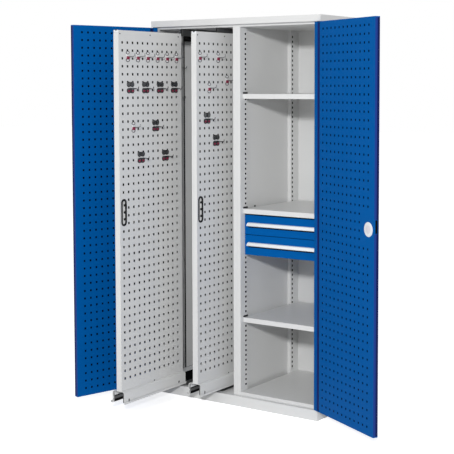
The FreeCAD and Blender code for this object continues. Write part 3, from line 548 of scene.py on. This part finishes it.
def ovalRing(centre, width, height):
    fresh = freshRing
    wire = hooks["wire"]
    deselectAll()
    bpy.ops.mesh.primitive_torus_add(major_segments=fresh["around"], minor_segments=fresh["across"],
                                     major_radius=fresh["radius"], minor_radius=fresh["wire"])
    piece = named("ring")
    for vertex in piece.data.vertices:
        around = math.atan2(vertex.co.y, vertex.co.x)
        out = (math.hypot(vertex.co.x, vertex.co.y) - fresh["radius"]) / fresh["wire"] * wire
        vertex.co = (centre[0] + vertex.co.z / fresh["wire"] * wire,
                     centre[1] + math.cos(around) * (width / 2 - wire + out),
                     centre[2] + math.sin(around) * (height / 2 - wire + out))
    smooth(piece, softAngle)
    return dressed(piece, materials["darkSteel"])


def hookParts(kind, x, y, z):
    shape = hookShapes[kind]
    parts = [ovalRing((x + hooks["wire"], y + depth, z + rise), *size)
             for size, (depth, rise) in shape["rings"]]
    for *spans, finish, edge in shape["blocks"]:
        spans = [(place + low, place + high) for place, (low, high) in zip((x, y, z), spans)]
        parts.append(block(*spans, finish, edge))
    prong = wireAlong("prong", [(x + a, y + b, z + c) for a, b, c in shape["prong"]], hooks["prong"])
    parts.append(dressed(prong, materials[shape["prongFinish"]]))
    return parts


def hangHooks(which, kind):
    out = pullOuts[which]
    pitch = perforation["pitch"]
    parts = []
    for column, row in hooks[kind][which]:
        y = out["front"] + perforation["pullFront"] + pitch * (column + hookShapes[kind]["shift"])
        z = perforation["pullTopRow"] - pitch * (row + 0.5) - hooks["drop"]
        parts += hookParts(kind, out["face"], y, z)
    piece = joined(which + "PullOut" + kind.capitalize() + "Hooks", parts)
    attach(piece, which + "_pullout")
    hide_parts(which + "_pullout_" + kind + "_hooks")


for which in pullOuts:
    for kind in hookShapes:
        hangHooks(which, kind)
print("hooks done")

# Finger grips: a black rim on each face of the panel, a pale liner through it and three finger bumps behind
gripRim = {"gap": 0.0006, "rim": 0.0088, "proud": 0.002, "sunk": 0.003, "round": 0.0007, "liner": 0.0012,
           "linerShare": 1.6, "around": 48, "bump": (0.006, 0.005, 0.0065), "bumpSunk": 0.005,
           "bumpAround": 12, "bumpAcross": 8, "bumps": (-0.034, 0.0, 0.034)}


def ovalTube(name, x, y, width, length, wall):
    radius = width / 2
    piece = cylinder(name, radius, x[1] - x[0], gripRim["around"], "NOTHING")
    thickened(piece, wall, -1)
    stretched(piece, length / 2 - radius, 1)
    piece.data.transform(Matrix.Translation(((x[0] + x[1]) / 2, y, grip["height"])) @ layAcross)
    smooth(piece, roundAngle)
    return piece


def fingerBump(x, y, z):
    deselectAll()
    bpy.ops.mesh.primitive_uv_sphere_add(segments=gripRim["bumpAround"], ring_count=gripRim["bumpAcross"],
                                         radius=1, location=(x, y, z))
    bump = named("bump")
    bump.scale = gripRim["bump"]
    settled(bump)
    smooth(bump, softAngle)
    return dressed(bump, materials["blackPlastic"])


def fingerGrip(which):
    shape = gripRim
    y = pullOuts[which]["front"] + grip["place"]
    right = pullOuts[which]["face"]
    left = right - panelShape["width"]
    innerLeft, innerRight = left + shape["sunk"], right - shape["sunk"]
    width = grip["width"] - shape["gap"]
    length = grip["length"] - shape["gap"]
    parts = []
    for x in ((left - shape["proud"], innerLeft), (innerRight, right + shape["proud"])):
        rim = ovalTube("rim", x, y, width, length, shape["rim"])
        bevelled(rim, shape["round"], angle=rimAngle)
        parts.append(dressed(rim, materials["blackPlastic"]))
    narrower = shape["rim"] * shape["linerShare"]
    liner = ovalTube("liner", (innerLeft, innerRight), y, width - narrower, length - narrower, shape["liner"])
    parts.append(dressed(liner, materials["greyPaint"]))
    for rise in shape["bumps"]:
        parts.append(fingerBump(right - shape["bumpSunk"], y + width / 2 - shape["rim"],
                                grip["height"] + rise))
    piece = joined(which + "PullOutFingerGrip", parts)
    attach(piece, which + "_pullout")
    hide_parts(which + "_pullout_grip")


for which in pullOuts:
    fingerGrip(which)
print("grips done")

# Drawer pulls: a lip that slopes out and down with mitred ends, turned under at its edge, and its dark shade
pull = {"thick": 0.0016, "drop": 0.003, "mitre": 0.006, "shoulderReach": 0.0066, "shoulderDrop": 0.003,
        "shoulderMitre": 0.0042, "edgeReach": 0.0108, "edgeRise": 0.004, "footReach": 0.007,
        "footRise": 0.001, "round": 0.0005, "shade": (-0.0065, 0.004), "shadeThick": 0.001,
        "shadeRound": 0.0002}


def drawerPull(name):
    low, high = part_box(name + "_drawer_handle")
    wall, foot = high.y, low.z
    top = high.z - pull["drop"]
    profile = [(wall, top, pull["mitre"]),
               (wall - pull["shoulderReach"], top - pull["shoulderDrop"], pull["shoulderMitre"]),
               (wall - pull["edgeReach"], foot + pull["edgeRise"], 0),
               (wall - pull["footReach"], foot + pull["footRise"], 0)]
    piece = grid(name + "DrawerPull", 1, len(profile) - 1)
    for vertex, row in zip(piece.data.vertices, gridLines(piece, 1)):
        y, z, mitre = profile[row]
        vertex.co = (low.x + mitre if vertex.co.x < 0 else high.x - mitre, y, z)
    thickened(piece, pull["thick"])
    bevelled(piece, pull["round"])
    smooth(piece)
    dressed(piece, materials["whiteAluminium"])
    shade = block((low.x + pull["mitre"], high.x - pull["mitre"]), (wall - pull["shadeThick"], wall),
                  [foot + rise for rise in pull["shade"]], "innerDark", pull["shadeRound"])
    piece = joined(name + "DrawerPull", [piece, shade])
    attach(piece, name + "_drawer")
    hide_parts(name + "_drawer_handle")


for name in ("upper", "lower"):
    drawerPull(name)
print("drawer pulls done")

# Carriages: one sheet folded over the slides with round bends, its edges rolled outwards
carriage = {
    "thick": 0.002, "width": 0.075, "outerFoot": 0.006, "curl": 0.010, "bend": 0.010, "footBend": 0.0014,
    "hole": {"depth": 0.433, "height": 0.086, "size": (0.013, 0.013)},
    "slot": {"depth": 0.037, "height": 0.081, "size": (0.009, 0.018)},
    "shadePlate": (0.0004, 0.00005), "backHalf": 0.013, "cutDepth": 0.008,
    "rail": {"inset": 0.0035, "length": 0.480, "leg": 0.0105, "skin": 0.0002},
    # bands: strips on the inner leg of the rail, a painted highlight in white and painted shade in dark
    "bands": (("whiteAluminium", (0.1050, 0.1262)), ("innerDark", (0.1000, 0.1050)),
              ("innerDark", (0.0735, 0.0860))),
    "bumper": {"depth": (0.0003, 0.0033), "height": (0.090, 0.0965), "thick": 0.004},
}


# A line through corners, each given with the radius of its bend
def roundedLine(corners, steps=5):
    line = []
    for index, (point, radius) in enumerate(corners):
        if not radius:
            line.append(point)
            continue
        corner = Vector(point)
        start = corner + (Vector(corners[index - 1][0]) - corner).normalized() * radius
        end = corner + (Vector(corners[index + 1][0]) - corner).normalized() * radius
        centre = start + end - corner
        for step in range(steps + 1):
            share = quarterTurn * step / steps
            spot = centre + (start - centre) * math.cos(share) + (end - centre) * math.sin(share)
            line.append(tuple(spot))
    return line


def foldedCarriage(which, low, high, left, right):
    shape = carriage
    half = shape["thick"] / 2
    outerLeft, outerRight = low.x + half, high.x - half
    bottom, top, rolled = low.z + half, high.z - half, low.z + shape["curl"]
    line = roundedLine([((outerLeft, rolled), 0), ((outerLeft, bottom), shape["footBend"]),
                        ((left, bottom), shape["footBend"]), ((left, top), shape["bend"]),
                        ((right, top), shape["bend"]), ((right, bottom), shape["footBend"]),
                        ((outerRight, bottom), shape["footBend"]), ((outerRight, rolled), 0)])
    piece = grid(which + "PullOutCarriage", len(line) - 1, 1)
    for vertex, place in zip(piece.data.vertices, gridLines(piece, 0)):
        x, z = line[place]
        vertex.co = (x, low.y if vertex.co.y < 0 else high.y, z)
    thickened(piece, shape["thick"])
    cleaned(piece)
    return piece


def cutMark(piece, mark, y, x):
    wide, tall = mark["size"]
    cutter = cylinder("cutter", wide / 2, carriage["cutDepth"])
    stretched(cutter, (tall - wide) / 2, 0)
    turn = Matrix.Rotation(quarterTurn, 4, "Y")
    cutter.data.transform(Matrix.Translation((x, y, mark["height"])) @ turn)
    cutBy(piece, cutter)


def pullOutCarriage(which):
    shape = carriage
    low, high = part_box(which + "_pullout_carriage")
    half = shape["thick"] / 2
    right = high.x - shape["outerFoot"] - half
    left = high.x - shape["outerFoot"] - shape["width"] + half
    piece = foldedCarriage(which, low, high, left, right)
    parts = [piece]
    # Dark plates behind the hole and the slot are painted shade seen through them
    for mark in (shape["hole"], shape["slot"]):
        y = low.y + mark["depth"]
        cutMark(piece, mark, y, right)
        back = shape["backHalf"]
        parts.append(plainBox([right - half - depth for depth in shape["shadePlate"]], (y - back, y + back),
                              (mark["height"] - back, mark["height"] + back), "innerDark"))
    smooth(piece, foldAngle)
    dressed(piece, materials["greyPaint"])
    rail = shape["rail"]
    ends = (low.y + rail["inset"], low.y + rail["inset"] + rail["length"])
    inside = left - half + rail["leg"]
    # Painted highlight and painted shade on the rail's inner leg
    for finish, heights in shape["bands"]:
        parts.append(plainBox((inside, inside + rail["skin"]), ends, heights, finish))
    bumper = shape["bumper"]
    parts.append(block((left + half, left + half + bumper["thick"]), [low.y + d for d in bumper["depth"]],
                       bumper["height"], "whitePlastic"))
    piece = joined(which + "PullOutCarriage", parts)
    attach(piece, which + "_pullout")
    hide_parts(which + "_pullout_carriage")


for which in pullOuts:
    pullOutCarriage(which)

# Painted light and shade on the slides' middle members: a pale top as painted light and dark sides as painted
# shade
skin = {"thick": 0.0002, "half": 0.0267, "top": 0.1235, "low": 0.0735}


def middleSlideShading(which):
    low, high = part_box(which + "_pullout_middle_rails")
    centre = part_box(which + "_pullout_carriage")[1].x - carriage["outerFoot"] - carriage["width"] / 2
    half, thick = skin["half"], skin["thick"]
    parts = [plainBox((centre - half, centre + half), (low.y, high.y), (skin["top"], skin["top"] + thick),
                      "greyPaint")]
    for edge in (centre - half - thick, centre + half):
        parts.append(plainBox((edge, edge + thick), (low.y, high.y), (skin["low"], skin["top"]), "innerDark"))
    piece = joined(which + "PullOutSlideShading", parts)
    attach(piece, which + "_slide_members")


for which in pullOuts:
    middleSlideShading(which)
print("carriages done")

# Small screws on the pull-outs: the depth and height of each one
screws = {
    "head": 0.0034, "rise": 0.0012, "round": 0.0004, "around": 16,
    "socket": ((-0.0005, 0.0005), (-0.0022, 0.0022), (0.0002, 0.01)),
    "left": ((0.010, 1.864), (0.237, 1.864), (0.462, 1.864), (0.251, 0.1325)),
    "middle": ((0.010, 1.864), (0.237, 1.864), (0.462, 1.864), (0.263, 0.1325)),
}


def screw(x, y, z):
    head = cylinder("screw", screws["head"], screws["rise"], screws["around"])
    bevelled(head, screws["round"], angle=rimAngle)
    cutBy(head, box(*screws["socket"], "socket"))
    turn = Matrix.Rotation(quarterTurn, 4, "Y")
    head.data.transform(Matrix.Translation((x + screws["rise"] / 2, y, z)) @ turn)
    smooth(head, roundAngle)
    return head


def pullOutScrews(which):
    out = pullOuts[which]
    heads = [screw(out["face"], out["front"] + depth, height) for depth, height in screws[which]]
    piece = joined(which + "PullOutScrews", heads)
    dressed(piece, materials["darkSteel"])
    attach(piece, which + "_pullout")


for which in pullOuts:
    pullOutScrews(which)
print("screws done")


# Lock: a white rosette with a grey dished middle inside the right door
def lockRosette():
    turn = Matrix.Rotation(quarterTurn, 4, "X")
    parts = []
    for radius, start, rise, rounding, finish in lock["discs"]:
        disc = cylinder("rosette", radius, rise, lock["around"])
        bevelled(disc, rounding, lock["edgeSteps"], rimAngle)
        place = (-lock["reach"], leaf["innerFace"] + start + rise / 2, lock["height"])
        disc.data.transform(Matrix.Translation(place) @ turn)
        smooth(disc, roundAngle)
        parts.append(dressed(disc, materials[finish]))
    piece = joined("rightDoorLockRosette", parts)
    piece.data.transform(doorPlace("right"))
    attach(piece, "right_door")
    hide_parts("lock_disc")


lockRosette()
print("lock done")

# Liner on the left side wall, with strips of painted shade along its front and lower edges, and above it a
# strip of painted shadow from the roof
liner = {"wall": -0.5035, "face": -0.5023, "shadeStripFace": -0.5017, "front": -0.029, "shadeStripEnd": -0.019,
         "rear": 0.2885, "low": 0.066, "foot": 0.071, "high": 1.854, "top": 1.905, "round": 0.0004,
         "shadeStripRound": 0.0003}


def wallLiner():
    sheet = (liner["wall"], liner["face"])
    shadeStrip = (liner["wall"], liner["shadeStripFace"])
    behindShadeStrip = (liner["shadeStripEnd"], liner["rear"])
    parts = [block(sheet, behindShadeStrip, (liner["foot"], liner["high"]), "greyPaint", liner["round"])]
    for y, z in (((liner["front"], liner["shadeStripEnd"]), (liner["low"], liner["high"])),
                 (behindShadeStrip, (liner["low"], liner["foot"])),
                 ((liner["front"], liner["rear"]), (liner["high"], liner["top"]))):
        parts.append(block(shadeStrip, y, z, "blackPlastic", liner["shadeStripRound"]))
    piece = joined("leftWallLiner", parts)
    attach(piece, "cabinet")


wallLiner()

# Two small J-shaped hooks on the left side wall: the depth and height of each root and the forward and
# upward steps to its tip; bends gives the places between as shares of the forward step
wallHook = {"wire": 0.0014, "root": -0.5037, "tip": -0.472, "sag": 0.002,
            "bends": ((-0.480, 0.7), (-0.476, 0.85)),
            "places": ((-0.036, 1.712, -0.003, 0.009), (-0.037, 1.550, -0.015, 0.010))}


def wallHooks():
    (low, lowShare), (bend, bendShare) = wallHook["bends"]
    parts = []
    for y, z, forward, upward in wallHook["places"]:
        line = [(wallHook["root"], y, z), (low, y + forward * lowShare, z - wallHook["sag"]),
                (bend, y + forward * bendShare, z), (wallHook["tip"], y + forward, z + upward)]
        parts.append(dressed(wireAlong("wallHook", line, wallHook["wire"]), materials["darkSteel"]))
    piece = joined("leftWallHooks", parts)
    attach(piece, "cabinet")


wallHooks()

# End caps and stops that close the groove in each pull-out's top
cap = {"start": 0.0003, "thick": 0.0022, "side": 0.0012, "low": 1.8692, "high": 1.8818, "stopHalf": 0.006,
       "stopThick": 0.0026, "stopLow": 1.8758, "stopHigh": 1.8846, "stopRound": 0.0006}


def topCaps(which):
    front = pullOuts[which]["front"] + cap["start"]
    right = pullOuts[which]["face"]
    left = right - panelShape["width"]
    middle = (left + right) / 2
    parts = [block((left + cap["side"], right - cap["side"]), (front, front + cap["thick"]),
                   (cap["low"], cap["high"]), "whitePlastic"),
             block((middle - cap["stopHalf"], middle + cap["stopHalf"]), (front, front + cap["stopThick"]),
                   (cap["stopLow"], cap["stopHigh"]), "blackPlastic", cap["stopRound"])]
    piece = joined(which + "PullOutTopCap", parts)
    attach(piece, which + "_pullout")


for which in pullOuts:
    topCaps(which)

# Tabs of the shelf clips where they come out of the front slots, and further back beside the middle shelf a
# small dark mark of painted shade
tab = {"web": (0.0322, 0.034), "lift": 0.0005, "height": 0.009, "round": 0.0004, "front": (-0.239, -0.199),
       "behind": {"middle_shelf": (-0.140, -0.128)}}


def clipTabs():
    parts = []
    for shelf in ("lower_shelf", "middle_shelf", "upper_shelf"):
        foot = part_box(shelf)[1].z + tab["lift"]
        spans = [tab["front"]] + [span for name, span in tab["behind"].items() if name == shelf]
        for span in spans:
            parts.append(block(tab["web"], span, (foot, foot + tab["height"]), "darkSteel", tab["round"]))
    piece = joined("shelfClipTabs", parts)
    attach(piece, "cabinet")


clipTabs()

# Painted shade on each door: a navy strip and a lighter indigo strip in its hinge groove, two tones of
# painted edge shade on its free end, and on the right door a dark plate behind the opening for the bolt, with
# navy beside the opening
trim = {"low": 0.060, "high": 1.910, "round": 0.0001, "shadeStripRound": 0.0003,
        "shadeStrip": (0.0225, 0.0372), "shadeStripSpan": (0.0061, 0.0141),
        "lighterShadeStrip": (0.0163, 0.0167), "lighterShadeStripSpan": (0.0061, 0.0162), "edge": 0.0003,
        "bands": (((-0.0072, 0.0045), "navyEdge"), ((0.0045, 0.0162), "indigoEdge")),
        "openLow": 0.964, "openHigh": 1.027, "besideOpen": (-0.0072, -0.0018),
        "shadePlate": (0.494, 0.4937), "backSpan": (-0.0045, 0.0135), "backMargin": 0.006}


def doorTrim(side):
    whole = (trim["low"], trim["high"])
    opening = (trim["openLow"], trim["openHigh"])
    edge = doorSpan(side, leaf["reach"], leaf["reach"] + trim["edge"])
    thin = trim["round"]
    parts = [block(doorSpan(side, *trim["shadeStrip"]), trim["shadeStripSpan"], whole, "navyEdge", trim["shadeStripRound"]),
             block(doorSpan(side, *trim["lighterShadeStrip"]), trim["lighterShadeStripSpan"], whole, "indigoEdge", thin)]
    heights = [(trim["low"], opening[0]), (opening[1], trim["high"])] if side == "right" else [whole]
    for height in heights:
        for band, finish in trim["bands"]:
            parts.append(block(edge, band, height, finish, thin))
    if side == "right":
        behind = (opening[0] - trim["backMargin"], opening[1] + trim["backMargin"])
        parts.append(block(doorSpan(side, *trim["shadePlate"]), trim["backSpan"], behind, "innerDark", thin))
        parts.append(block(edge, trim["besideOpen"], opening, "navyEdge", thin))
    piece = joined(side + "DoorTrim", parts)
    piece.data.transform(doorPlace(side))
    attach(piece, side + "_door")


for side in doors:
    doorTrim(side)

# Painted shade inside the door leaves: dark sheets behind each perforated sheet, so that its holes look dark,
# each with a strip that stands behind the hinge groove
shadeSheet = {"start": 0.043, "end": 0.4925, "span": (-0.0067, -0.0061), "low": 0.060, "high": 1.910,
       "lockStart": 0.428, "lockLow": 0.920, "lockHigh": 1.042, "turn": (0.0405, 0.0411),
       "turnSpan": (-0.0061, 0.0155), "round": 0.0001}


def doorShadeSheet(side):
    start, end, low, high = shadeSheet["start"], shadeSheet["end"], shadeSheet["low"], shadeSheet["high"]
    fields = [(start, end, low, high)]
    if side == "right":
        fields = [(start, end, low, shadeSheet["lockLow"]), (start, end, shadeSheet["lockHigh"], high),
                  (start, shadeSheet["lockStart"], shadeSheet["lockLow"], shadeSheet["lockHigh"])]
    parts = [block(doorSpan(side, *shadeSheet["turn"]), shadeSheet["turnSpan"], (low, high), "innerDark", shadeSheet["round"])]
    for near, far, foot, head in fields:
        parts.append(block(doorSpan(side, near, far), shadeSheet["span"], (foot, head), "innerDark", shadeSheet["round"]))
    piece = joined(side + "DoorShadeSheet", parts)
    piece.data.transform(doorPlace(side))
    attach(piece, side + "_door")


for side in doors:
    doorShadeSheet(side)
print("liner and shadeSheets done")

# Floor, light and camera
stageLook = {"floorSize": 60, "floorColour": (0.9, 0.9, 0.9, 1), "floorRough": 0.9, "floorGlow": 0.66,
             "worldLight": 0.42, "seenLight": 1}


# One for the rays that show the surroundings, nought for those that light the cabinet
def seenRays(tree):
    path = tree.nodes.new("ShaderNodeLightPath")
    seen = path.outputs["Is Camera Ray"]
    for kind in ("Is Glossy Ray", "Is Transmission Ray"):
        either = tree.nodes.new("ShaderNodeMath")
        either.operation = "MAXIMUM"
        tree.links.new(seen, either.inputs[0])
        tree.links.new(path.outputs[kind], either.inputs[1])
        seen = either.outputs["Value"]
    return seen


def floorMaterial():
    material, tree, shader = newMaterial("paleFloor")
    shader.inputs["Base Color"].default_value = stageLook["floorColour"]
    shader.inputs["Roughness"].default_value = stageLook["floorRough"]
    glow = tree.nodes.new("ShaderNodeEmission")
    strength = tree.nodes.new("ShaderNodeMath")
    strength.operation = "MULTIPLY"
    strength.inputs[1].default_value = stageLook["floorGlow"]
    tree.links.new(seenRays(tree), strength.inputs[0])
    tree.links.new(strength.outputs["Value"], glow.inputs["Strength"])
    both = tree.nodes.new("ShaderNodeAddShader")
    tree.links.new(shader.outputs["BSDF"], both.inputs[0])
    tree.links.new(glow.outputs["Emission"], both.inputs[1])
    tree.links.new(both.outputs["Shader"], tree.nodes["Material Output"].inputs["Surface"])
    return material


def layFloor():
    deselectAll()
    bpy.ops.mesh.primitive_plane_add(size=stageLook["floorSize"], location=(0, 0, 0))
    floorPlane = named("floor")
    dressed(floorPlane, floorMaterial())


def whiteWorld():
    world = bpy.data.worlds.new("studio")
    bpy.context.scene.world = world
    world.use_nodes = True
    tree = world.node_tree
    lit = tree.nodes["Background"]
    seen = tree.nodes.new("ShaderNodeBackground")
    for background, strength in ((lit, stageLook["worldLight"]), (seen, stageLook["seenLight"])):
        background.inputs["Color"].default_value = (1, 1, 1, 1)
        background.inputs["Strength"].default_value = strength
    mix = tree.nodes.new("ShaderNodeMixShader")
    tree.links.new(seenRays(tree), mix.inputs["Fac"])
    tree.links.new(lit.outputs["Background"], mix.inputs[1])
    tree.links.new(seen.outputs["Background"], mix.inputs[2])
    tree.links.new(mix.outputs["Shader"], tree.nodes["World Output"].inputs["Surface"])


lamps = {
    "keyLamp": {"place": (3.8, -6.0, 2.81), "aim": (0, -0.2, 1.0), "size": 0.35, "power": 280},
    "frontLamp": {"place": (0.6, -5.5, 4.0), "aim": (0.2, -0.2, 1.0), "size": 2.5, "power": 34},
}


def hangLamp(name):
    lamp = lamps[name]
    data = bpy.data.lights.new(name, "AREA")
    data.size = lamp["size"]
    data.energy = lamp["power"]
    light = bpy.data.objects.new(name, data)
    bpy.context.scene.collection.objects.link(light)
    light.location = lamp["place"]
    aim = Vector(lamp["aim"]) - light.location
    light.rotation_euler = aim.to_track_quat("-Z", "Y").to_euler()


# The photo's camera as it was fitted: angles in degrees, focal length, centre and frame in pixels
shot = {
    "place": (3.258, -4.9007, 1.6121), "yaw": 34.085, "pitch": 3.7816, "roll": 0.0754,
    "focal": 1132.98, "centre": (254.78, 161.17), "frame": 454, "sensor": 36, "farthest": 100,
}


def photoCamera():
    data = bpy.data.cameras.new("photoCamera")
    camera = bpy.data.objects.new("photoCamera", data)
    bpy.context.scene.collection.objects.link(camera)
    data.sensor_width = shot["sensor"]
    data.lens = shot["focal"] / shot["frame"] * data.sensor_width
    data.shift_x = 0.5 - shot["centre"][0] / shot["frame"]
    data.shift_y = shot["centre"][1] / shot["frame"] - 0.5
    data.clip_end = shot["farthest"]
    yaw = Matrix.Rotation(math.radians(shot["yaw"]), 4, "Z")
    tilt = Matrix.Rotation(math.radians(90 - shot["pitch"]), 4, "X")
    roll = Matrix.Rotation(math.radians(-shot["roll"]), 4, "Z")
    camera.matrix_world = Matrix.Translation(shot["place"]) @ yaw @ tilt @ roll
    bpy.context.scene.camera = camera


layFloor()
whiteWorld()
for name in lamps:
    hangLamp(name)
photoCamera()
bpy.context.scene.view_settings.view_transform = "Standard"
print("stage done")
